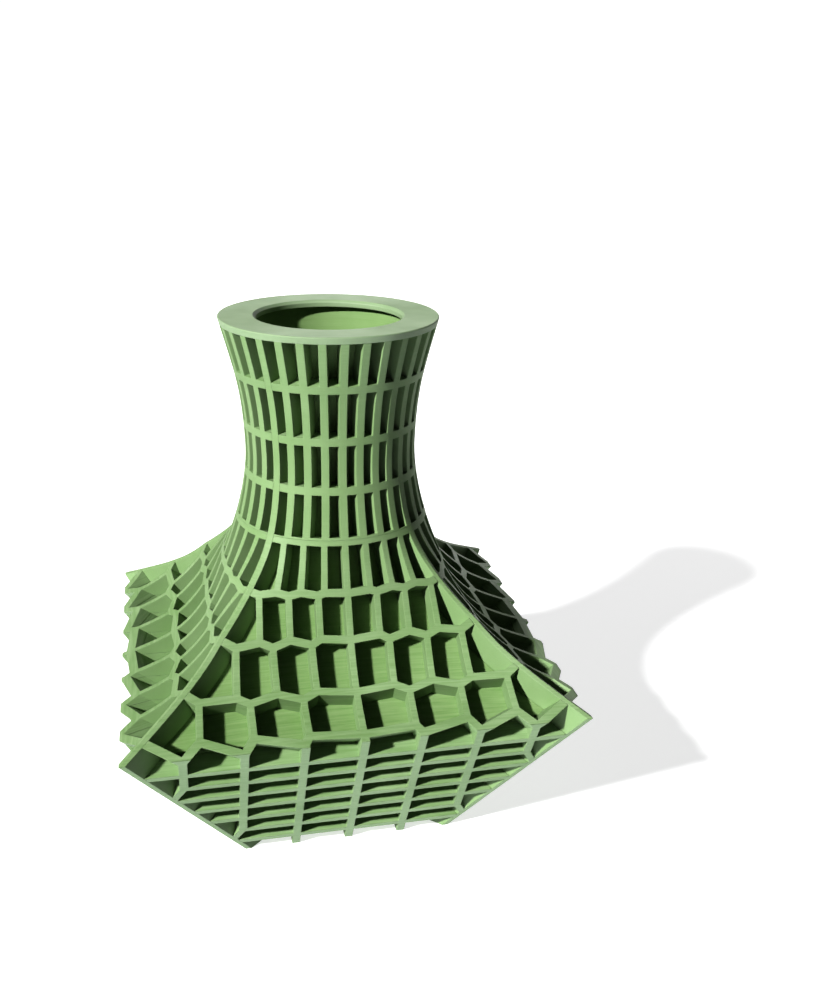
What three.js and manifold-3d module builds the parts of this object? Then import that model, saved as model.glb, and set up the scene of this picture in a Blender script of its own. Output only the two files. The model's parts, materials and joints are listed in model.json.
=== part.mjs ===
// A printed lattice vase: a round waisted neck that flares into a wide square belly and tapers to a square
// foot. The outside is a honeycomb of open pockets in front of a closed liner that holds the stems.
// The pockets are Voronoi cells round rows of sites laid on the outer skin: each wall lies halfway between
// two sites. The print is divided at its natural lines into spines, panels, liners, a rim and a floor.
import * as THREE from 'three';
import { ConvexGeometry } from 'three/addons/geometries/ConvexGeometry.js';
import { mergeVertices } from 'three/addons/utils/BufferGeometryUtils.js';
import Module from 'manifold-3d';

const wasm = await Module();
wasm.setup();

// Driving dimensions, in millimetres.
const HEIGHT = 200;
const RIM_RADIUS = 41;
const RIM_THICKNESS = 2.6;
const MOUTH_RADIUS = 27;
const MOUTH_CHAMFER = 1;
const BELLY_HALF = 82.5;
const BELLY_Z = 67.5;
const FOOT_HALF = 40;
const FLOOR_THICKNESS = 3;
const POCKET_DEPTH = 7.5;
const LINER_THICKNESS = 2;
const RIB_WIDTHS = { neck: 2.9, shoulder: 2.4, under: 3 };
const HOOP_WIDTH = 3;
const BAR_WIDTH = 2.6;
const SPINE_WIDTH = 3;
const GAP = 0.3;

// The pocket grid: columns on each of the four faces, heights of the rows above the belly edge, and the
// rows of the tapered underside, measured down its slope from the belly edge.
const FACES = 4;
const COLUMNS = 8;
const UPPER_ROWS = [189.8, 169.8, 150.2, 133, 114.2, 98, 84.3, 71.6];
const NECK_ROWS = 4;
const LEVEL_ROWS = 6;
const CORNER_RISE = 2.2;
const UNDER_ROWS = 8;
const UNDER_FIRST = 6.85;
const UNDER_PITCH = 10;

// The skin's profile as [reach, height]: the middle of a face, and the corner between two faces, whose
// reach is its distance from the middle plane of either face. Above WAIST_Z the section is round.
const WAIST_Z = 141;
const ROUND_PROFILE = [[32.8, WAIST_Z], [32.4, 155], [34.6, 175], [RIM_RADIUS, HEIGHT]];
const FACE_PROFILE = [[BELLY_HALF, BELLY_Z], [62.5, 76], [50, 89], [42, 107], [36, 125], ...ROUND_PROFILE];
const CORNER_PROFILE = [
  [BELLY_HALF, BELLY_Z], [62.5, 79.8], [50, 90.5], [36.8, 108], [27, 125],
  ...ROUND_PROFILE.map(([radius, z]) => [radius * Math.SQRT1_2, z]),
];

// Heights of the skin's facet edges, and those of the plainer surfaces behind it. The skin has an edge on
// every rib, and the surfaces behind it have one on every second rib.
const SKIN_LEVELS = [76.5, 83, 91, 106, 123.9, 141.2, 160, 179.7];
const SHEET_LEVELS = [BELLY_Z, 75, 90, 106, 123.9, 160, HEIGHT];
const RIBS_PER_FACET = 2;
const MOUTH_SIDES = 48;

// Lengths that only the modelling needs: a reach past the whole vase, a run-on that makes two surfaces
// cross, an overlap that makes two solids join, and the distances below which points are one point.
const REACH_LIMIT = 150;
const RUN_ON = 0.5;
const OVERLAP = 0.01;
const WELD = 1e-4;
const OUTPUT_WELD = 1e-3;
const CORNER_WELD = 2e-3;
const ON_PLANE = 1e-9;

// Solids and meshes

function toSolid(geometry) {
  geometry.deleteAttribute('normal');
  geometry.deleteAttribute('uv');
  const merged = mergeVertices(geometry, WELD);
  const vertProperties = new Float32Array(merged.attributes.position.array);
  const triVerts = new Uint32Array(merged.index.array);
  return new wasm.Manifold(new wasm.Mesh({ numProp: 3, vertProperties, triVerts }));
}

function toGeometry(solid) {
  const mesh = solid.getMesh();
  const geometry = new THREE.BufferGeometry();
  geometry.setAttribute('position', new THREE.BufferAttribute(new Float32Array(mesh.vertProperties), 3));
  geometry.setIndex(new THREE.BufferAttribute(new Uint32Array(mesh.triVerts), 1));
  const merged = mergeVertices(geometry, OUTPUT_WELD);
  merged.computeVertexNormals();
  return merged;
}

function quarterTurned(point, quarter) {
  return point.clone().applyAxisAngle(new THREE.Vector3(0, 0, 1), quarter * Math.PI / 2);
}

// The skin

const SAMPLES = 400;

// A profile's points. It runs on a little before its first point, so that the surface crosses the underside
// instead of ending on it.
function sampled(profile) {
  const curve = new THREE.SplineCurve(profile.map(([reach, z]) => new THREE.Vector2(reach, z)));
  const before = curve.getPoint(0).addScaledVector(curve.getTangent(0), -RUN_ON);
  return [before, ...curve.getPoints(SAMPLES)];
}

function reachAt(samples, z) {
  if (z <= samples[0].y) return samples[0].x;
  const found = samples.findIndex((sample) => sample.y >= z);
  const next = found < 0 ? samples.length - 1 : found;
  const [low, high] = [samples[next - 1], samples[next]];
  return low.x + (high.x - low.x) * (z - low.y) / (high.y - low.y);
}

const underSlope = (BELLY_HALF - FOOT_HALF) / BELLY_Z;
const underReach = (z) => FOOT_HALF + underSlope * z;
const faceCurve = sampled(FACE_PROFILE);
const cornerCurve = sampled(CORNER_PROFILE);

// 0 where the section is square, 1 where it is round.
function roundness(z) {
  const ratio = reachAt(faceCurve, z) / reachAt(cornerCurve, z);
  return THREE.MathUtils.clamp((ratio - 1) / (Math.SQRT2 - 1), 0, 1);
}

// A point of the front face's skin: across runs from -1 at the left corner to 1 at the right one.
function skinPoint(across, z) {
  const round = roundness(z);
  const faceReach = reachAt(faceCurve, z);
  const cornerReach = THREE.MathUtils.lerp(reachAt(cornerCurve, z), faceReach * Math.SQRT1_2, round);
  const swing = across * Math.PI / 4;
  const x = cornerReach * THREE.MathUtils.lerp(across, Math.sin(swing) * Math.SQRT2, round);
  const bow = (1 - Math.cos(swing)) / (1 - Math.SQRT1_2);
  return new THREE.Vector3(x, -THREE.MathUtils.lerp(faceReach, cornerReach, bow), z);
}

// How the skin runs on sideways and upwards at a point, found from its neighbours.
function skinRun(across, z) {
  const sideways = skinPoint(across + 1 / SAMPLES, z).sub(skinPoint(across - 1 / SAMPLES, z)).normalize();
  const above = skinPoint(across, Math.min(z + RUN_ON, HEIGHT));
  const upwards = above.sub(skinPoint(across, Math.max(z - RUN_ON, BELLY_Z))).normalize();
  return { sideways, upwards };
}

// The solid inside the skin: a stack of sections carried straight down below the belly, and cut by the
// tapered underside.
function insideSkin() {
  const ring = (z) => {
    const points = [];
    for (let i = 0; i < FACES * COLUMNS; i += 1) {
      points.push(quarterTurned(skinPoint(2 * (i % COLUMNS) / COLUMNS - 1, z), Math.floor(i / COLUMNS)));
    }
    return points;
  };
  return loft([-RUN_ON, faceCurve[0].y, ...SKIN_LEVELS, HEIGHT].map(ring)).intersect(taper(0));
}

// The solid inside the surface at a depth behind the skin: what lies behind all four faces' sheets.
function insideSheets(depth) {
  const columns = sheetColumns(depth);
  let body = taper(depth);
  for (let quarter = 0; quarter < FACES; quarter += 1) {
    body = body.intersect(loft(columns.map((ring) => ring.map((point) => quarterTurned(point, quarter)))));
  }
  return body;
}

// The front face's sheet is its skin moved square to itself by a depth, and run on past the corners,
// straight down from the belly and straight up from the rim. Each column of it is closed into a ring behind
// the whole vase.
function sheetColumns(depth) {
  const row = (z) => {
    const points = [];
    for (let column = 0; column <= COLUMNS; column += RIBS_PER_FACET) {
      const across = 2 * column / COLUMNS - 1;
      const { sideways, upwards } = skinRun(across, z);
      points.push(skinPoint(across, z).addScaledVector(sideways.cross(upwards).normalize(), -depth));
    }
    const [left, right] = [-1, 1].map((side) => skinRun(side, z).sideways.multiplyScalar(side * BELLY_HALF));
    return [points[0].clone().add(left), ...points, points[points.length - 1].clone().add(right)];
  };
  const atHeight = (points, z) => points.map((point) => new THREE.Vector3(point.x, point.y, z));
  const rows = SHEET_LEVELS.map(row);
  rows.unshift(atHeight(rows[0], -RUN_ON));
  rows.push(atHeight(rows[rows.length - 1], HEIGHT + REACH_LIMIT));
  return rows[0].map((_, i) => {
    const front = rows.map((points) => points[i]);
    return [...front.map((point) => new THREE.Vector3(point.x, REACH_LIMIT, point.z)), ...front.reverse()];
  });
}

function centreOf(points) {
  return points.reduce((sum, point) => sum.add(point), new THREE.Vector3()).divideScalar(points.length);
}

// A closed solid through a stack of rings, each with the same number of points.
function loft(rings) {
  const count = rings[0].length;
  const positions = [];
  const triangle = (...corners) => corners.forEach(({ x, y, z }) => positions.push(x, y, z));
  for (let level = 0; level < rings.length - 1; level += 1) {
    const [low, high] = [rings[level], rings[level + 1]];
    for (let i = 0; i < count; i += 1) {
      const j = (i + 1) % count;
      triangle(low[i], low[j], high[j]);
      triangle(low[i], high[j], high[i]);
    }
  }
  const [first, last] = [rings[0], rings[rings.length - 1]];
  const [firstMiddle, lastMiddle] = [centreOf(first), centreOf(last)];
  for (let i = 0; i < count; i += 1) {
    const j = (i + 1) % count;
    triangle(firstMiddle, first[j], first[i]);
    triangle(lastMiddle, last[i], last[j]);
  }
  const geometry = new THREE.BufferGeometry();
  geometry.setAttribute('position', new THREE.Float32BufferAttribute(positions, 3));
  return toSolid(geometry);
}

// The pyramid of the underside, standing on its foot and widening up past the top of the vase.
function taper(depth) {
  const corners = [];
  for (const z of [0, HEIGHT + RUN_ON]) {
    const reach = underReach(z) - depth * Math.hypot(1, underSlope);
    for (let quarter = 0; quarter < FACES; quarter += 1) {
      corners.push(quarterTurned(new THREE.Vector3(reach, reach, z), quarter));
    }
  }
  return toSolid(new ConvexGeometry(corners));
}

// Convex cells

const NEIGHBOURS = 60;

function boxFaces() {
  const box = new THREE.BoxGeometry(2 * REACH_LIMIT, 2 * REACH_LIMIT, 4 * REACH_LIMIT).toNonIndexed();
  const position = box.attributes.position;
  const faces = [];
  for (let face = 0; face < 6; face += 1) {
    const corner = (i) => new THREE.Vector3().fromBufferAttribute(position, face * 6 + i);
    faces.push([corner(0), corner(1), corner(4), corner(2)]);
  }
  return faces;
}

// Keeps what lies behind each plane, and returns the corners that are left.
function clipped(planes) {
  let faces = boxFaces();
  for (const plane of planes) {
    const kept = [];
    const cut = [];
    let touched = false;
    for (const face of faces) {
      const side = face.map((corner) => plane.distanceToPoint(corner));
      if (side.every((distance) => distance <= ON_PLANE)) {
        kept.push(face);
        continue;
      }
      touched = true;
      const outline = [];
      face.forEach((corner, i) => {
        const j = (i + 1) % face.length;
        if (side[i] <= 0) outline.push(corner);
        if (side[i] * side[j] < 0) {
          const crossing = corner.clone().lerp(face[j], side[i] / (side[i] - side[j]));
          outline.push(crossing);
          cut.push(crossing);
        }
      });
      if (outline.length > 2) kept.push(outline);
    }
    if (!touched) continue;
    if (kept.length === 0) return [];
    const centre = centreOf(cut);
    const u = cut[0].clone().sub(centre).normalize();
    const v = new THREE.Vector3().crossVectors(plane.normal, u);
    const angle = (corner) => {
      const arm = corner.clone().sub(centre);
      return Math.atan2(arm.dot(v), arm.dot(u));
    };
    kept.push(cut.sort((a, b) => angle(a) - angle(b)));
    faces = kept;
  }
  return faces.flat();
}

function convexSolid(planes) {
  const corners = [];
  for (const corner of clipped(planes)) {
    if (corners.every((other) => other.distanceTo(corner) > CORNER_WELD)) corners.push(corner);
  }
  if (corners.length < 4) return null;
  return toSolid(new ConvexGeometry(corners));
}

// The sites of one face, each with the region of the print that its pocket belongs to.
function faceSites() {
  const sites = [];
  const underLength = Math.hypot(BELLY_Z, BELLY_HALF - FOOT_HALF);
  for (let column = 0; column < COLUMNS; column += 1) {
    const across = (2 * column + 1) / COLUMNS - 1;
    UPPER_ROWS.forEach((z, row) => {
      const region = row < NECK_ROWS ? 'neck' : 'shoulder';
      const rise = row < LEVEL_ROWS ? 0 : CORNER_RISE * across ** 4;
      sites.push({ point: skinPoint(across, z + rise), region, row, column });
    });
    for (let row = 0; row < UNDER_ROWS; row += 1) {
      const z = BELLY_Z * (1 - (UNDER_FIRST + row * UNDER_PITCH) / underLength);
      const point = new THREE.Vector3(across * BELLY_HALF, -underReach(z), z);
      if (Math.abs(point.x) < underReach(z)) {
        sites.push({ point, region: 'under', row: UPPER_ROWS.length + row, column });
      }
    }
  }
  return sites;
}

const allSites = [];
for (let face = 0; face < FACES; face += 1) {
  for (const site of faceSites()) {
    allSites.push({ ...site, point: quarterTurned(site.point, face), face });
  }
}
const frontSites = allSites.filter((site) => site.face === 0);

function halfWall(site, other) {
  if (site.face !== other.face) return SPINE_WIDTH / 2;
  if (site.row === other.row) return RIB_WIDTHS[site.region] / 2;
  return (site.region === 'under' && other.region === 'under' ? BAR_WIDTH : HOOP_WIDTH) / 2;
}

function planesRound(site, others, margin) {
  const near = others.filter((other) => other !== site);
  near.sort((a, b) => a.point.distanceToSquared(site.point) - b.point.distanceToSquared(site.point));
  const planes = near.slice(0, NEIGHBOURS).map((other) => {
    const normal = other.point.clone().sub(site.point).normalize();
    const middle = other.point.clone().add(site.point).multiplyScalar(0.5);
    const plane = new THREE.Plane().setFromNormalAndCoplanarPoint(normal, middle);
    plane.constant -= margin(site, other);
    return plane;
  });
  const behind = new THREE.Plane(new THREE.Vector3(0, 1, 0), 0);
  return [...planes, behind];
}

// The pocket of a site, and the same pockets without their walls, run on to cover a whole region.
function pocketOf(site) {
  const planes = planesRound(site, allSites, (one, other) => -halfWall(one, other));
  if (site.row === 0) planes.push(rimUnderside);
  return convexSolid(planes);
}

// Everything on one side of a row's walls towards another region, moved by a margin.
function rowBlocks(row, region, margin) {
  const others = allSites.filter((other) => other.row === row || other.region === region);
  const marginTo = (site, other) => (other.row === row ? OVERLAP : margin);
  const rowSites = frontSites.filter((site) => site.row === row);
  return rowSites.map((site) => convexSolid(planesRound(site, others, marginTo)));
}

const rimUnderside = new THREE.Plane(new THREE.Vector3(0, 0, 1), RIM_THICKNESS - HEIGHT);
const skin = insideSkin();
const linerOutside = insideSheets(POCKET_DEPTH);
const linerClearance = insideSheets(POCKET_DEPTH - GAP);
const hollow = insideSheets(POCKET_DEPTH + LINER_THICKNESS);
const latticeZone = skin.subtract(linerClearance);

// The zone of the front face, between the two spines and under the rim.
function faceZone() {
  const side = (sign) => new THREE.Plane(new THREE.Vector3(sign, 1, 0).normalize(), SPINE_WIDTH / 2 + GAP);
  const top = new THREE.Plane(new THREE.Vector3(0, 0, 1), RIM_THICKNESS + GAP - HEIGHT);
  return convexSolid([side(1), side(-1), top]).intersect(latticeZone);
}

const join = (solids) => solids.reduce((sum, solid) => sum.add(solid));
const cut = (body, solids) => solids.reduce((rest, solid) => rest.subtract(solid), body);

// The upper region of two owns the wall between them, and the lower one stops a gap short of it.
const half = HOOP_WIDTH / 2;
const zones = {
  neck: () => faceZone().intersect(join(rowBlocks(NECK_ROWS - 1, 'shoulder', half))),
  shoulder: () => cut(faceZone(), [
    ...rowBlocks(NECK_ROWS - 1, 'shoulder', half + GAP),
    ...rowBlocks(UPPER_ROWS.length, 'shoulder', -half),
  ]),
  under: () => faceZone().intersect(join(rowBlocks(UPPER_ROWS.length, 'shoulder', -half - GAP))),
};

function panel(region) {
  const pockets = frontSites.filter((site) => site.region === region).map(pocketOf);
  return cut(zones[region](), pockets);
}

function block(lowX, lowY, lowZ, highX, highY, highZ) {
  const geometry = new THREE.BoxGeometry(highX - lowX, highY - lowY, highZ - lowZ);
  geometry.translate((lowX + highX) / 2, (lowY + highY) / 2, (lowZ + highZ) / 2);
  return geometry;
}

function spine() {
  const top = HEIGHT - RIM_THICKNESS - GAP;
  const plate = block(0, -SPINE_WIDTH / 2, 0, 2 * REACH_LIMIT, SPINE_WIDTH / 2, top);
  return toSolid(plate.rotateZ(-3 * Math.PI / 4)).intersect(latticeZone);
}

function slab(low, high) {
  return toSolid(block(-REACH_LIMIT, -REACH_LIMIT, low, REACH_LIMIT, REACH_LIMIT, high));
}

function rim() {
  const bottom = HEIGHT - RIM_THICKNESS;
  const outline = [
    [0, bottom - RUN_ON],
    [MOUTH_RADIUS, bottom - RUN_ON],
    [MOUTH_RADIUS, HEIGHT - MOUTH_CHAMFER],
    [MOUTH_RADIUS + MOUTH_CHAMFER + RUN_ON, HEIGHT + RUN_ON],
    [0, HEIGHT + RUN_ON],
  ].map(([radius, z]) => new THREE.Vector2(radius, z));
  const mouth = toSolid(new THREE.LatheGeometry(outline, MOUTH_SIDES).rotateX(Math.PI / 2));
  return skin.intersect(slab(bottom, HEIGHT)).subtract(mouth);
}

function liner(low, high) {
  return linerOutside.subtract(hollow).intersect(slab(low, high));
}

function floorPlate() {
  return linerOutside.intersect(slab(0, FLOOR_THICKNESS));
}

// The assembly

const printed = () => new THREE.MeshStandardMaterial({ color: 0x8fb573, roughness: 0.62, metalness: 0 });
const vase = new THREE.Group();

function place(name, geometry) {
  const mesh = new THREE.Mesh(geometry, printed());
  mesh.name = name;
  vase.add(mesh);
}

// Places the same solid four times, a quarter turn apart.
function placeRound(name, sides, solid) {
  sides.forEach((side, quarter) => {
    const geometry = toGeometry(solid).rotateZ(quarter * Math.PI / 2);
    place(`${name}_${side}`, geometry);
  });
}

const LINER_SPLIT_Z = 124;
place('rim_ring', toGeometry(rim()));
place('neck_liner', toGeometry(liner(LINER_SPLIT_Z, HEIGHT - RIM_THICKNESS - GAP)));
place('body_liner', toGeometry(liner(FLOOR_THICKNESS + GAP, LINER_SPLIT_Z - GAP)));
place('floor_plate', toGeometry(floorPlate()));

const FACE_NAMES = ['front', 'right', 'back', 'left'];
const CORNER_NAMES = ['front_left', 'front_right', 'back_right', 'back_left'];
const regionNodes = { neck: 'neck_panel', shoulder: 'shoulder_panel', under: 'underside_panel' };
for (const [region, name] of Object.entries(regionNodes)) {
  placeRound(name, FACE_NAMES, panel(region));
}
placeRound('corner_spine', CORNER_NAMES, spine());

export default vase;
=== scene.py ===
import json
import math
from collections import namedtuple

import bmesh
import bpy
import numpy as np
from mathutils import Matrix, Vector

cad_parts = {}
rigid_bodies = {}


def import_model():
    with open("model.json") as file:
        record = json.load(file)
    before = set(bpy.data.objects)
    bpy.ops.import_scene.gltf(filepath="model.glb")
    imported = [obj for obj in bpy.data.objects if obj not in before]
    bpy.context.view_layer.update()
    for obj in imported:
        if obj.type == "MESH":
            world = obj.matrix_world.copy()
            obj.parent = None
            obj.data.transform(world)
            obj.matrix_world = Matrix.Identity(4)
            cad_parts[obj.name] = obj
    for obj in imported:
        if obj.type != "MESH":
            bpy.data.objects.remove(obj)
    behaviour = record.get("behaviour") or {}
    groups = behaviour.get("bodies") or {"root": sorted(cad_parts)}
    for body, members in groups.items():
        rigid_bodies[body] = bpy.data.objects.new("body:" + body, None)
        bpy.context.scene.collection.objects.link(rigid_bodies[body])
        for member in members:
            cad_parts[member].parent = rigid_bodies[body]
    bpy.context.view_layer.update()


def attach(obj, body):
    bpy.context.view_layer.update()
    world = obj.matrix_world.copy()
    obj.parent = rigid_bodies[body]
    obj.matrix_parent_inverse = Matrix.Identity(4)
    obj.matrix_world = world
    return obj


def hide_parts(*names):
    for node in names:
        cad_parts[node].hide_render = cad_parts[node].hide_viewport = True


# A printed lattice vase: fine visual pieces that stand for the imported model's plainer solids.
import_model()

# Driving dimensions, in millimetres. Meshes are built in millimetres and shrunk to metres when placed.
MM = 0.001
HEIGHT = 200
RIM_RADIUS = 41
RIM_THICKNESS = 2.6
MOUTH_RADIUS = 27
MOUTH_CHAMFER = 1
RIM_ROUND = 0.35
RIM_LEAN = 0.1
BELLY_HALF = 82.5
BELLY_Z = 67.5
FOOT_HALF = 40
FLOOR_THICKNESS = 3
POCKET_DEPTH = 7.5
LINER_THICKNESS = 2
RIB_WIDTHS = {"neck": 2.9, "shoulder": 2.4, "under": 3}
HOOP_WIDTH = 3
BAR_WIDTH = 2.6
SPINE_WIDTH = 3
RIM_Z = HEIGHT - RIM_THICKNESS

# The pocket grid: columns on each face, heights of the rows above the belly edge, and the rows of the
# tapered underside, measured down its slope from the belly edge.
FACES = 4
COLUMNS = 8
UPPER_ROWS = [189.8, 169.8, 150.2, 133, 114.2, 98, 84.3, 71.6]
NECK_ROWS = 4
LEVEL_ROWS = 6
CORNER_RISE = 2.2
UNDER_ROWS = 8
UNDER_FIRST = 6.85
UNDER_PITCH = 10

# Where the lattice and the liner are divided between the neck and the body.
HOOP_CUT_Z = 123.9
LINER_SPLIT_Z = 124

# The skin's profile as (reach, height) at the middle of a face and at a corner.
WAIST_Z = 141
ROUND_PROFILE = [(32.8, WAIST_Z), (32.4, 155), (34.6, 175), (RIM_RADIUS, HEIGHT)]
FACE_PROFILE = [(BELLY_HALF, BELLY_Z), (62.5, 76), (50, 89), (42, 107), (36, 125)] + ROUND_PROFILE
CORNER_PROFILE = [(BELLY_HALF, BELLY_Z), (62.5, 79.8), (50, 90.5), (36.8, 108), (27, 125)]
CORNER_PROFILE += [(radius * math.sqrt(0.5), z) for radius, z in ROUND_PROFILE]

# Fineness of the visual surfaces.
PROFILE_SAMPLES = 400
POINTS_PER_FACE = 32
LEVEL_COUNT = 56
RIM_SEGMENTS = 192
SHARP_ANGLE = math.radians(25)

# Lengths that only the modelling needs: a reach past the whole vase, how far a surface runs on past its
# end and a cutter past the vase, a gap that keeps solids from touching, the distance of a weld, and how
# far off a plane a point still counts as on it.
REACH_LIMIT = 150
RUN_ON = 0.5
OVERRUN = 1
HAIR = 0.02
WELD = 1e-4
ON_PLANE = 1e-9
# How many of the sites around a pocket are looked at for its walls.
NEIGHBOURS = 40

# The print's layer height and the rounding of its edges, in metres.
LAYER = 0.0002
EDGE_ROUND = 0.0004
# The print's relief, in layers: how far its layers wander, and the heights of ridges, stairs and grain.
LAYER_WANDER = 0.9
RIDGE_HEIGHT = 0.16
STAIR_HEIGHT = 0.8
GRAIN_HEIGHT = 0.12

FACE_NAMES = ["front", "right", "back", "left"]
CORNER_NAMES = ["front_left", "front_right", "back_right", "back_left"]


# The skin

def spline_point(points, t):
    """The point and tangent of a uniform Catmull-Rom spline through the points."""
    place = t * (len(points) - 1)
    i = min(int(place), len(points) - 2)
    w = place - i
    p0, p1, p2, p3 = (np.array(points[max(0, min(k, len(points) - 1))], float) for k in range(i - 1, i + 3))
    v0 = (p2 - p0) / 2
    v1 = (p3 - p1) / 2
    a = 2 * p1 - 2 * p2 + v0 + v1
    b = -3 * p1 + 3 * p2 - 2 * v0 - v1
    tangent = 3 * a * w * w + 2 * b * w + v0
    return a * w ** 3 + b * w * w + v0 * w + p1, tangent / np.linalg.norm(tangent)


def sampled(profile):
    """A profile's points, with a short run-on before the first."""
    first, tangent = spline_point(profile, 0)
    points = [spline_point(profile, i / PROFILE_SAMPLES)[0] for i in range(PROFILE_SAMPLES + 1)]
    return np.array([first - tangent * RUN_ON] + points)


def reach_at(samples, z):
    return float(np.interp(z, samples[:, 1], samples[:, 0]))


UNDER_SLOPE = (BELLY_HALF - FOOT_HALF) / BELLY_Z
FACE_CURVE = sampled(FACE_PROFILE)
CORNER_CURVE = sampled(CORNER_PROFILE)


def under_reach(z):
    return FOOT_HALF + UNDER_SLOPE * z


def roundness(z):
    """0 where the section is square, 1 where it is round."""
    ratio = reach_at(FACE_CURVE, z) / reach_at(CORNER_CURVE, z)
    return min(max((ratio - 1) / (math.sqrt(2) - 1), 0), 1)


def lerp(a, b, t):
    return a + (b - a) * t


def skin_point(across, z):
    """A point of the front face's skin: across runs from -1 at its left corner to 1 at its right one."""
    blend = roundness(z)
    face_reach = reach_at(FACE_CURVE, z)
    corner_reach = lerp(reach_at(CORNER_CURVE, z), face_reach * math.sqrt(0.5), blend)
    swing = across * math.pi / 4
    x = corner_reach * lerp(across, math.sin(swing) * math.sqrt(2), blend)
    bow = (1 - math.cos(swing)) / (1 - math.sqrt(0.5))
    return Vector((x, -lerp(face_reach, corner_reach, bow), z))


def skin_run(across, z):
    """How the skin runs on sideways and upwards at a point, found from its neighbours."""
    step = 1 / PROFILE_SAMPLES
    sideways = skin_point(across + step, z) - skin_point(across - step, z)
    upwards = skin_point(across, min(z + RUN_ON, HEIGHT)) - skin_point(across, max(z - RUN_ON, BELLY_Z))
    return sideways.normalized(), upwards.normalized()


def quarter_turned(point, quarter):
    return Matrix.Rotation(quarter * math.pi / 2, 3, "Z") @ Vector(point)


# Solids, as mesh objects in millimetres

def solid(points, faces):
    """A mesh object from points and faces, with its faces pointing out."""
    mesh = bpy.data.meshes.new("solid")
    mesh.from_pydata([tuple(point) for point in points], [], faces)
    bm = bmesh.new()
    bm.from_mesh(mesh)
    bmesh.ops.remove_doubles(bm, verts=bm.verts, dist=WELD)
    bmesh.ops.dissolve_degenerate(bm, edges=bm.edges, dist=WELD)
    bmesh.ops.recalc_face_normals(bm, faces=bm.faces)
    bmesh.ops.triangulate(bm, faces=bm.faces)
    bm.to_mesh(mesh)
    bm.free()
    obj = bpy.data.objects.new("solid", mesh)
    bpy.context.scene.collection.objects.link(obj)
    return obj


def combined(body, tool, operation):
    """The boolean of two objects as a new object; the two are left as they are."""
    result = bpy.data.objects.new("solid", body.data.copy())
    bpy.context.scene.collection.objects.link(result)
    modifier = result.modifiers.new("cut", "BOOLEAN")
    modifier.operation = operation
    modifier.solver = "MANIFOLD"
    modifier.object = tool
    evaluated = result.evaluated_get(bpy.context.evaluated_depsgraph_get())
    mesh = bpy.data.meshes.new_from_object(evaluated)
    result.modifiers.clear()
    result.data = mesh
    return result


def cut(body, *tools):
    for tool in tools:
        body = combined(body, tool, "DIFFERENCE")
    return body


def shared(body, *tools):
    for tool in tools:
        body = combined(body, tool, "INTERSECT")
    return body


def loft(rings):
    """A closed solid through a stack of level rings."""
    count = len(rings[0])
    points = [point for ring in rings for point in ring]
    faces = []
    for level in range(len(rings) - 1):
        for i in range(count):
            j = (i + 1) % count
            low = level * count
            high = low + count
            faces.append((low + i, low + j, high + j, high + i))
    faces.append(tuple(reversed(range(count))))
    faces.append(tuple(range(len(points) - count, len(points))))
    return solid(points, faces)


def lathe(profile, count):
    """A ring turned from a closed profile of (radius, height) points."""
    points = []
    for i in range(count):
        angle = 2 * math.pi * i / count
        points += [(radius * math.cos(angle), radius * math.sin(angle), z) for radius, z in profile]
    faces = []
    size = len(profile)
    for i in range(count):
        j = (i + 1) % count
        for k in range(size):
            m = (k + 1) % size
            faces.append((i * size + k, j * size + k, j * size + m, i * size + m))
    return solid(points, faces)


def taper(depth):
    """The underside's pyramid drawn in by a depth, widening from the foot up past the top of the vase."""
    rings = []
    for z in (0, HEIGHT + OVERRUN):
        reach = under_reach(z) - depth * math.hypot(1, UNDER_SLOPE)
        rings.append([quarter_turned((reach, -reach, z), quarter) for quarter in range(FACES)])
    return loft(rings)


def level_heights():
    """Levels from the belly edge to the top, evenly spaced along the skin's face profile."""
    curve = FACE_CURVE[1:]
    along = np.concatenate(([0], np.cumsum(np.hypot(*np.diff(curve, axis=0).T))))
    return [float(z) for z in np.interp(np.linspace(0, along[-1], LEVEL_COUNT), along, curve[:, 1])]


def inside_skin():
    """A stack of sections, carried straight down below the belly and cut by the tapered underside."""
    rings = []
    for z in [-OVERRUN, float(FACE_CURVE[0, 1])] + level_heights()[1:]:
        ring = []
        for i in range(FACES * POINTS_PER_FACE):
            across = 2 * (i % POINTS_PER_FACE) / POINTS_PER_FACE - 1
            ring.append(quarter_turned(skin_point(across, z), i // POINTS_PER_FACE))
        rings.append(ring)
    return shared(loft(rings), taper(0))


def sheet_row(z, depth):
    """One row of the front face's skin moved square to itself by a depth, run on past both corners."""
    points = []
    for i in range(POINTS_PER_FACE + 1):
        across = 2 * i / POINTS_PER_FACE - 1
        sideways, upwards = skin_run(across, z)
        points.append(skin_point(across, z) - sideways.cross(upwards).normalized() * depth)
    left, right = (skin_run(side, z)[0] * BELLY_HALF * side for side in (-1, 1))
    return [points[0] + left] + points + [points[-1] + right]


def inside_sheets(depth):
    """The solid inside the surface at a depth behind the skin: what lies behind all four faces' sheets."""
    rows = [sheet_row(z, depth) for z in level_heights()]
    below = [Vector((point.x, point.y, -OVERRUN)) for point in rows[0]]
    above = [Vector((point.x, point.y, HEIGHT + REACH_LIMIT)) for point in rows[-1]]
    columns = []
    for front in zip(below, *rows, above):
        behind = [Vector((point.x, REACH_LIMIT, point.z)) for point in front]
        columns.append(behind + list(reversed(front)))
    body = taper(depth)
    for quarter in range(FACES):
        body = shared(body, loft([[quarter_turned(point, quarter) for point in ring] for ring in columns]))
    return body


def slab(low, high):
    """All the space between two heights."""
    r = REACH_LIMIT
    rings = [[(-r, -r, z), (r, -r, z), (r, r, z), (-r, r, z)] for z in (low, high)]
    return loft(rings)


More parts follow.
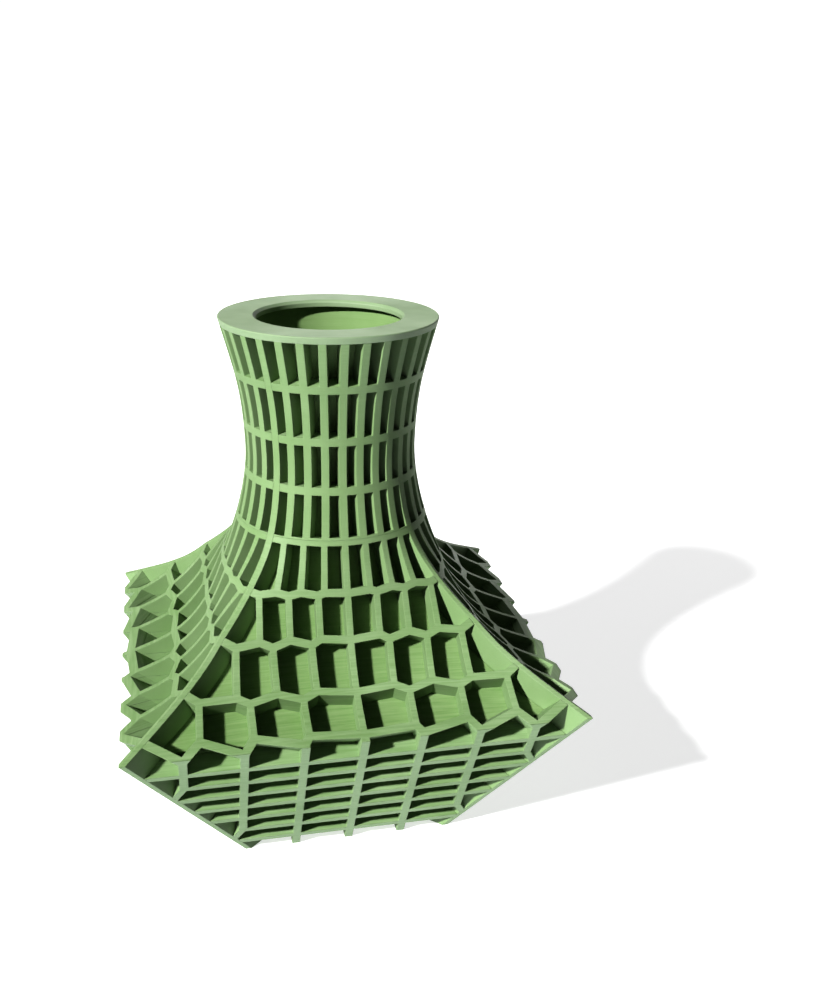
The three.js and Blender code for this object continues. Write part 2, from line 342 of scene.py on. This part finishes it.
def plane_cell(planes):
    """The faces left of a large box after it is clipped behind each plane (normal, distance)."""
    r = REACH_LIMIT
    corners = np.array([(x, y, z) for x in (-r, r) for y in (-r, r) for z in (-2 * r, 2 * r)], float)
    sides = ((0, 1, 3, 2), (4, 6, 7, 5), (0, 4, 5, 1), (2, 3, 7, 6), (0, 2, 6, 4), (1, 5, 7, 3))
    faces = [corners[list(side)] for side in sides]
    for normal, distance in planes:
        kept = []
        crossings = []
        touched = False
        for face in faces:
            heights = face @ normal - distance
            if (heights <= ON_PLANE).all():
                kept.append(face)
                continue
            touched = True
            outline = []
            for i in range(len(face)):
                j = (i + 1) % len(face)
                if heights[i] <= 0:
                    outline.append(face[i])
                if heights[i] * heights[j] < 0:
                    crossing = lerp(face[i], face[j], heights[i] / (heights[i] - heights[j]))
                    outline.append(crossing)
                    crossings.append(crossing)
            if len(outline) > 2:
                kept.append(np.array(outline))
        if not touched:
            continue
        if not kept:
            return []
        centre = np.mean(crossings, axis=0)
        u = crossings[0] - centre
        u /= np.linalg.norm(u)
        v = np.cross(normal, u)
        crossings.sort(key=lambda point: math.atan2((point - centre) @ v, (point - centre) @ u))
        kept.append(np.array(crossings))
        faces = kept
    return faces


def cells_solid(cells):
    """One mesh object holding several convex cells that don't touch."""
    points = []
    faces = []
    for cell in cells:
        for polygon in cell:
            faces.append(tuple(range(len(points), len(points) + len(polygon))))
            points.extend(polygon)
    return solid(points, faces)


# The pockets

Site = namedtuple("Site", "point region row quarter")


def face_sites():
    """The sites of the front face as (point, region, row)."""
    under_length = math.hypot(BELLY_Z, BELLY_HALF - FOOT_HALF)
    for column in range(COLUMNS):
        across = (2 * column + 1) / COLUMNS - 1
        for row, z in enumerate(UPPER_ROWS):
            rise = 0 if row < LEVEL_ROWS else CORNER_RISE * across ** 4
            yield skin_point(across, z + rise), "neck" if row < NECK_ROWS else "shoulder", row
        for row in range(UNDER_ROWS):
            z = BELLY_Z * (1 - (UNDER_FIRST + row * UNDER_PITCH) / under_length)
            if abs(across * BELLY_HALF) < under_reach(z):
                yield Vector((across * BELLY_HALF, -under_reach(z), z)), "under", len(UPPER_ROWS) + row


SITES = []
for quarter in range(FACES):
    for site_point, site_region, site_row in face_sites():
        SITES.append(Site(quarter_turned(site_point, quarter), site_region, site_row, quarter))
SITE_POINTS = np.array([tuple(site.point) for site in SITES])


def half_wall(site, other):
    """Half the wall between two sites: a spine, a rib between columns, or a hoop or bar between rows."""
    if site.quarter != other.quarter:
        return SPINE_WIDTH / 2
    if site.row == other.row:
        return RIB_WIDTHS[site.region] / 2
    return (BAR_WIDTH if site.region == other.region == "under" else HOOP_WIDTH) / 2


def pocket(index):
    """The pocket of a site: its Voronoi cell with each wall's half drawn in, down to the vase's middle."""
    site = SITES[index]
    point = SITE_POINTS[index]
    nearest = np.argsort(((SITE_POINTS - point) ** 2).sum(axis=1))[1:NEIGHBOURS + 1]
    planes = []
    for k in nearest:
        away = SITE_POINTS[k] - point
        normal = away / np.linalg.norm(away)
        middle = (SITE_POINTS[k] + point) / 2
        planes.append((normal, middle @ normal - half_wall(site, SITES[k])))
    planes.append((np.array((0.0, 1.0, 0.0)), 0.0))
    return plane_cell(planes)


# Materials

class Nodes:
    """Short names for making and linking shader nodes."""

    def __init__(self, material):
        material.use_nodes = True
        self.tree = material.node_tree
        self.shader = self.tree.nodes["Principled BSDF"]

    def make(self, kind, inputs=(), **settings):
        node = self.tree.nodes.new(kind)
        for key, value in settings.items():
            setattr(node, key, value)
        for socket, value in dict(inputs).items():
            if isinstance(value, bpy.types.NodeSocket):
                self.tree.links.new(value, node.inputs[socket])
            else:
                node.inputs[socket].default_value = value
        return node

    def math(self, operation, *values):
        return self.make("ShaderNodeMath", dict(enumerate(values)), operation=operation).outputs[0]


def printed_plastic(name, dark, light, line_strength=1.0, gloss=0.6):
    """Matte printed plastic: mottled colour, and layer lines that turn to terraces on shallow slopes."""
    material = bpy.data.materials.new(name)
    n = Nodes(material)
    position = n.make("ShaderNodeTexCoord").outputs["Object"]
    facing = n.make("ShaderNodeSeparateXYZ", {0: n.make("ShaderNodeNewGeometry").outputs["Normal"]})
    slope = n.math("ABSOLUTE", facing.outputs["Z"])

    # Layer lines: a rounded ridge for each layer, and a stair where the surface is shallow.
    split = n.make("ShaderNodeSeparateXYZ", {0: position})
    wander = n.make("ShaderNodeTexNoise", {"Vector": position, "Scale": 90.0, "Detail": 2.0})
    height = n.math("MULTIPLY_ADD", wander.outputs["Fac"], LAYER * LAYER_WANDER, split.outputs["Z"])
    phase = n.math("FRACT", n.math("DIVIDE", height, LAYER))
    from_middle = n.math("ABSOLUTE", n.math("MULTIPLY_ADD", phase, 2.0, -1.0))
    ridge = n.math("SUBTRACT", 1.0, n.math("POWER", from_middle, 3.0))
    ridge_height = n.math("MULTIPLY", ridge, LAYER * RIDGE_HEIGHT)
    stair_height = n.math("MULTIPLY", n.math("MULTIPLY", phase, slope), -LAYER * STAIR_HEIGHT)
    lines = n.math("ADD", ridge_height, stair_height)

    # Relief: the lines with a fine grain, over softly rounded edges.
    grain = n.make("ShaderNodeTexNoise", {"Vector": position, "Scale": 2600.0, "Detail": 3.0})
    relief = n.math("MULTIPLY_ADD", grain.outputs["Fac"], LAYER * GRAIN_HEIGHT, lines)
    rounded = n.make("ShaderNodeBevel", {"Radius": EDGE_ROUND}, samples=4).outputs[0]
    relief_inputs = {"Strength": line_strength, "Height": relief, "Normal": rounded}
    n.tree.links.new(n.make("ShaderNodeBump", relief_inputs).outputs[0], n.shader.inputs["Normal"])

    # Colour: broad mottling, streaks along the layers of shallow slopes, and painted shade that darkens the
    # layer grooves.
    mottle_inputs = {"Vector": position, "Scale": 38.0, "Detail": 4.0, "Roughness": 0.6}
    mottle = n.make("ShaderNodeTexNoise", mottle_inputs).outputs["Fac"]
    streak_place = n.make("ShaderNodeMapping", {"Vector": position, "Scale": (60.0, 60.0, 2500.0)})
    streak = n.make("ShaderNodeTexNoise", {"Vector": streak_place.outputs[0], "Scale": 1.0, "Detail": 2.0})
    streak_tone = n.math("MULTIPLY", n.math("SUBTRACT", streak.outputs["Fac"], 0.5), slope)
    mottle_tone = n.math("MULTIPLY_ADD", mottle, 0.5, 0.35)
    blend = n.math("MULTIPLY_ADD", streak_tone, 0.9, mottle_tone)
    # Painted shade: the colour is darkened in the groove between layers, where shade falls.
    painted_groove_shade = n.math("MULTIPLY", n.math("SUBTRACT", 1.0, ridge), 0.25)
    tone = n.make("ShaderNodeValToRGB", {0: n.math("SUBTRACT", blend, painted_groove_shade)})
    for stop, place, colour in zip(tone.color_ramp.elements, (0.3, 0.75), (dark, light)):
        stop.position = place
        stop.color = (*colour, 1)
    n.tree.links.new(tone.outputs[0], n.shader.inputs["Base Color"])

    # Finish: matte, with highlights drawn out round the vase by the layers.
    roughness = n.math("MULTIPLY_ADD", mottle, 0.15, 0.5)
    n.tree.links.new(roughness, n.shader.inputs["Roughness"])
    tangent = n.make("ShaderNodeTangent", direction_type="RADIAL", axis="Z")
    n.tree.links.new(tangent.outputs[0], n.shader.inputs["Tangent"])
    n.shader.inputs["Anisotropic"].default_value = 0.5
    n.shader.inputs["Specular IOR Level"].default_value = gloss
    return material


def glowing_material(name, shade, strength):
    """A matte grey that also gives off white light."""
    material = bpy.data.materials.new(name)
    n = Nodes(material)
    n.shader.inputs["Base Color"].default_value = (shade, shade, shade, 1)
    n.shader.inputs["Roughness"].default_value = 0.9
    n.shader.inputs["Emission Color"].default_value = (1, 1, 1, 1)
    n.shader.inputs["Emission Strength"].default_value = strength
    return material


lattice_green = printed_plastic("lattice_green", (0.133, 0.222, 0.083), (0.217, 0.308, 0.157), gloss=0.3)
# The liner and floor disc are the lattice's plastic coloured darker: painted shade for the walls at the
# back of the pockets.
liner_green_painted_shade = printed_plastic("liner_green_painted_shade", (0.115, 0.198, 0.066), (0.188, 0.272, 0.122), gloss=0.1)
# The rim is the lattice's plastic coloured paler: a painted sheen on its top.
rim_green_painted_sheen = printed_plastic("rim_green_painted_sheen", (0.166, 0.243, 0.124), (0.243, 0.323, 0.195), line_strength=0.7)


# The pieces

def placed(name, body, material, nodes, quarter=0):
    """A finished piece: turned into place, in metres, riding on the vase and standing for its CAD nodes."""
    mesh = body.data.copy()
    mesh.transform(Matrix.Rotation(quarter * math.pi / 2, 4, "Z") @ Matrix.Scale(MM, 4))
    mesh.polygons.foreach_set("use_smooth", [True] * len(mesh.polygons))
    mesh.set_sharp_from_angle(angle=SHARP_ANGLE)
    mesh.name = name
    mesh.materials.clear()
    mesh.materials.append(material)
    piece = bpy.data.objects.new(name, mesh)
    bpy.context.scene.collection.objects.link(piece)
    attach(piece, "root")
    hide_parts(*nodes)
    return piece


def wedge():
    """The front quarter up to the rim, a hair short of the spines so that no film is left on them."""
    diagonal = math.sqrt(0.5)
    planes = [(np.array((sign * diagonal, diagonal, 0)), -SPINE_WIDTH / 2 - HAIR) for sign in (1, -1)]
    planes.append((np.array((0.0, 0.0, 1.0)), RIM_Z))
    return cells_solid([plane_cell(planes)])


def spine_plate():
    """A thin plate up to the rim, from the vase's middle out past its front left corner."""
    half = SPINE_WIDTH / 2
    far = 2 * REACH_LIMIT
    levels = (-OVERRUN, RIM_Z)
    plate = loft([[(0, -half, z), (far, -half, z), (far, half, z), (0, half, z)] for z in levels])
    plate.data.transform(Matrix.Rotation(-3 * math.pi / 4, 4, "Z"))
    return plate


def place_panels(skin, liner_outside):
    """Three panels on each face, cut from one lattice so that each runs on into the next."""
    pockets = cells_solid([pocket(i) for i, site in enumerate(SITES) if site.quarter == 0])
    lattice = cut(shared(skin, wedge()), liner_outside, pockets)
    panels = {
        "neck": ("neck_panel", shared(lattice, slab(HOOP_CUT_Z, HEIGHT))),
        "shoulder": ("shoulder_panel", shared(lattice, slab(BELLY_Z, HOOP_CUT_Z))),
        "underside": ("underside_panel", shared(lattice, slab(-OVERRUN, BELLY_Z))),
    }
    for quarter, face_name in enumerate(FACE_NAMES):
        for region, (slot, body) in panels.items():
            node = f"{slot}_{face_name}"
            placed(f"{region}_lattice_{face_name}", body, lattice_green, [node], quarter)


def place_spines(skin, liner_outside):
    """The rib that runs from rim to foot on each corner."""
    spine = cut(shared(spine_plate(), skin), liner_outside)
    for quarter, corner_name in enumerate(CORNER_NAMES):
        node = f"corner_spine_{corner_name}"
        placed(f"ridge_{corner_name}", spine, lattice_green, [node], quarter)


def place_liners(liner_outside):
    """The closed wall behind the lattice, in two lengths, and the floor inside its foot."""
    shell = cut(liner_outside, inside_sheets(POCKET_DEPTH + LINER_THICKNESS))
    neck_tube = shared(shell, slab(LINER_SPLIT_Z, RIM_Z))
    body_wall = shared(shell, slab(FLOOR_THICKNESS, LINER_SPLIT_Z))
    floor_disc = shared(liner_outside, slab(-OVERRUN, FLOOR_THICKNESS))
    placed("liner_neck", neck_tube, liner_green_painted_shade, ["neck_liner"])
    placed("liner_body", body_wall, liner_green_painted_shade, ["body_liner"])
    placed("floor_disc", floor_disc, liner_green_painted_shade, ["floor_plate"])


def place_rim():
    """The flat ring round the mouth, chamfered inside and rounded outside."""
    profile = [
        (MOUTH_RADIUS, RIM_Z),
        (reach_at(FACE_CURVE, RIM_Z), RIM_Z),
        (RIM_RADIUS - RIM_LEAN, HEIGHT - RIM_ROUND),
        (RIM_RADIUS - RIM_ROUND, HEIGHT),
        (MOUTH_RADIUS + MOUTH_CHAMFER, HEIGHT),
        (MOUTH_RADIUS, HEIGHT - MOUTH_CHAMFER),
    ]
    placed("rim", lathe(profile, RIM_SEGMENTS), rim_green_painted_sheen, ["rim_ring"])


def discard_solids():
    """Removes the working solids that the placed pieces were copied from."""
    solids = [obj for obj in bpy.data.objects if obj.name.startswith("solid")]
    for obj in solids:
        mesh = obj.data
        bpy.data.objects.remove(obj)
        bpy.data.meshes.remove(mesh)


vase_skin = inside_skin()
liner_skin = inside_sheets(POCKET_DEPTH)
place_panels(vase_skin, liner_skin)
place_spines(vase_skin, liner_skin)
place_liners(liner_skin)
place_rim()
discard_solids()


# The floor, the lights and the camera, in metres

FLOOR_SIZE = 60
# Small enough to stay inside the clip distance of the views from other sides.
BACKDROP_RADIUS = 12
KEY_STRENGTH = 8.3
KEY_SPREAD = math.radians(3.6)
KEY_TRAVEL = Vector((0.678, 0.51, -0.53)).normalized()
LIGHT_TARGET = Vector((0, 0, 0.1))
# The upward parts of the directions between which the light from the near floor fades out.
NEAR_FLOOR_DIP = -0.85
FAR_FLOOR_DIP = -0.55
ROOM_TINT = (0.94, 0.98, 1.06, 1)
# A gamma below 1 deepens the shadows.
VIEW_GAMMA = 0.83
CAMERA_AZIMUTH = math.radians(-13.96)
CAMERA_ELEVATION = math.radians(19.165)
CAMERA_ROLL = math.radians(1.411)
CAMERA_DISTANCE = 0.4771
CAMERA_TARGET = Vector((0.04756, -0.01182, 0.13423))
CAMERA_SENSOR_HEIGHT = 36
CAMERA_LENS = 44.267
CAMERA_SHIFT = (-0.04717, -0.01525)


def studio_mesh(name, material):
    """The mesh just added, named, given its material and hidden from diffuse rays."""
    obj = bpy.context.object
    obj.name = name
    obj.data.materials.append(material)
    obj.visible_diffuse = False
    return obj


def place_floor():
    """A plain pale floor. The light that it would throw up at the vase comes from the world instead."""
    bpy.ops.mesh.primitive_plane_add(size=FLOOR_SIZE, location=(0, 0, 0))
    floor = studio_mesh("studio_floor", glowing_material("studio_white", shade=0.5, strength=0.71))


def place_backdrop():
    """A white dome that is only there to be seen. It throws no light or shade on the vase."""
    bpy.ops.mesh.primitive_uv_sphere_add(
        segments=64, ring_count=32, radius=BACKDROP_RADIUS, location=(0, 0, 0)
    )
    backdrop = studio_mesh("studio_backdrop", glowing_material("backdrop_white", shade=0.0, strength=1.0))
    backdrop.visible_glossy = False
    backdrop.visible_shadow = False


def light_object(name, light, direction):
    obj = bpy.data.objects.new(name, light)
    obj.rotation_euler = direction.to_track_quat("-Z", "Y").to_euler()
    bpy.context.scene.collection.objects.link(obj)
    return obj


def key_light():
    """The one hard light, from the front left, which gives the long shadow."""
    light = bpy.data.lights.new("key", "SUN")
    light.energy = KEY_STRENGTH
    light.angle = KEY_SPREAD
    light_object("key", light, KEY_TRAVEL)


def area_light(name, location, energy, size):
    """A soft light that faces the vase's middle."""
    light = bpy.data.lights.new(name, "AREA")
    light.energy = energy
    light.size = size
    light_object(name, light, LIGHT_TARGET - Vector(location)).location = location


def studio_world(overhead, far_floor, near_floor):
    """A dim room, with the light that a white floor near the vase throws up at it."""
    world = bpy.data.worlds.new("studio")
    world.use_nodes = True
    tree = world.node_tree
    direction = tree.nodes.new("ShaderNodeTexCoord").outputs["Generated"]
    split = tree.nodes.new("ShaderNodeSeparateXYZ")
    tree.links.new(direction, split.inputs[0])
    ramp = tree.nodes.new("ShaderNodeFloatCurve")
    points = ramp.mapping.curves[0].points
    steps = [
        (-1, near_floor),
        (NEAR_FLOOR_DIP, near_floor),
        (FAR_FLOOR_DIP, far_floor),
        (0, overhead),
        (1, overhead),
    ]
    while len(points) < len(steps):
        points.new(0, 0)
    ramp.mapping.extend = "HORIZONTAL"
    ramp.mapping.use_clip = False
    for point, (z, strength) in zip(points, steps):
        point.location = (z, strength)
        point.handle_type = "VECTOR"
    ramp.mapping.update()
    tree.links.new(split.outputs["Z"], ramp.inputs["Value"])
    background = tree.nodes["Background"]
    background.inputs[0].default_value = ROOM_TINT
    tree.links.new(ramp.outputs[0], background.inputs[1])
    bpy.context.scene.world = world


def place_camera():
    """A camera at a distance from its target, rolled a little and with its lens shifted."""
    back = Vector((
        math.sin(CAMERA_AZIMUTH) * math.cos(CAMERA_ELEVATION),
        -math.cos(CAMERA_AZIMUTH) * math.cos(CAMERA_ELEVATION),
        math.sin(CAMERA_ELEVATION),
    ))
    right = Vector((0, 0, 1)).cross(back).normalized()
    upright = Matrix((right, back.cross(right), back)).transposed()
    turn = upright @ Matrix.Rotation(CAMERA_ROLL, 3, "Z")
    data = bpy.data.cameras.new("camera")
    data.sensor_fit = "VERTICAL"
    data.sensor_height = CAMERA_SENSOR_HEIGHT
    data.lens = CAMERA_LENS
    data.shift_x, data.shift_y = CAMERA_SHIFT
    camera = bpy.data.objects.new("camera", data)
    camera.matrix_world = Matrix.Translation(CAMERA_TARGET + back * CAMERA_DISTANCE) @ turn.to_4x4()
    bpy.context.scene.collection.objects.link(camera)
    bpy.context.scene.camera = camera


place_floor()
place_backdrop()
key_light()
area_light("fill", location=(1.3, -0.7, 0.5), energy=0.25, size=0.8)
area_light("sheen", location=(0.37, 1.47, 0.63), energy=9, size=1.2)
area_light("back_fill", location=(1.1, 1.1, 0.4), energy=5, size=1)
studio_world(overhead=0.03, far_floor=0.25, near_floor=5)
bpy.context.scene.view_settings.view_transform = "Standard"
bpy.context.scene.view_settings.gamma = VIEW_GAMMA
place_camera()
